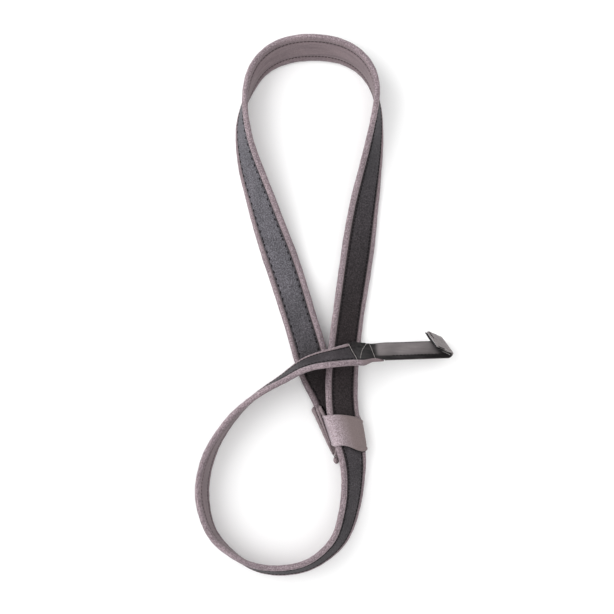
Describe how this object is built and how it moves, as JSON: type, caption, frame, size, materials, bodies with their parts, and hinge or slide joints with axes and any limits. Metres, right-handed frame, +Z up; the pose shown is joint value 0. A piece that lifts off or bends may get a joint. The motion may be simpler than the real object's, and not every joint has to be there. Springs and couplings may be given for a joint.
{
  "type": "padded instrument neck strap",
  "caption": "Padded velour and leather neck strap with a sliding sewn keeper, a lower loop and a leather tab bent into a sound-hole hook.",
  "frame": {"origin": "centre of the bounding box on the table it lies on", "axes": "+Y up the neck loop, away from the lower loop; +X towards the hook; +Z up from the table"},
  "size_m": [0.2146, 0.4513, 0.0463],
  "materials": {
    "velour": "mauve-grey brushed nap",
    "foam": "pale foam felt",
    "strip_leather": "charcoal, matt",
    "dark_thread": "waxed dark thread",
    "keeper_fabric": "grey suedette",
    "tab_leather": "near black, semi-gloss",
    "tab_lining": "brown-grey flesh side",
    "pale_thread": "pale grey thread",
    "spring_steel": "plain spring steel"
  },
  "bodies": {
    "strap": {"strap_cover": "velour", "strap_core": "foam", "leather_strip": "strip_leather", "stitch_row_outer": "dark_thread", "stitch_row_inner": "dark_thread", "tab_root": "tab_leather", "tab_zigzag": "pale_thread"},
    "keeper": {"strap_end_cover": "velour", "strap_end_core": "foam", "strap_end_leather": "strip_leather", "strap_end_stitches_left": "dark_thread", "strap_end_stitches_right": "dark_thread", "keeper_back_panel": "keeper_fabric", "keeper_binding": "keeper_fabric", "keeper_seam": "dark_thread", "keeper_front_band": "keeper_fabric"},
    "hook_tab": {"tab_upper": "tab_leather", "tab_lower": "tab_lining", "hook_plate": "spring_steel", "tab_edge_stitch": "dark_thread"}
  },
  "joints": [
    {"name": "keeper_slide", "type": "slide", "parent": "strap", "child": "keeper", "axis": [-0.1689, 0.9856, 0], "range_m": [0, 0.007]},
    {"name": "tab_flex", "type": "hinge", "parent": "strap", "child": "hook_tab", "pos_m": [0.04785, -0.03795, 0.01833], "axis": [0.1204, -0.7739, 0.6217], "range_deg": [0, 60], "stiffness_Nm_per_rad": 0.02}
  ]
}
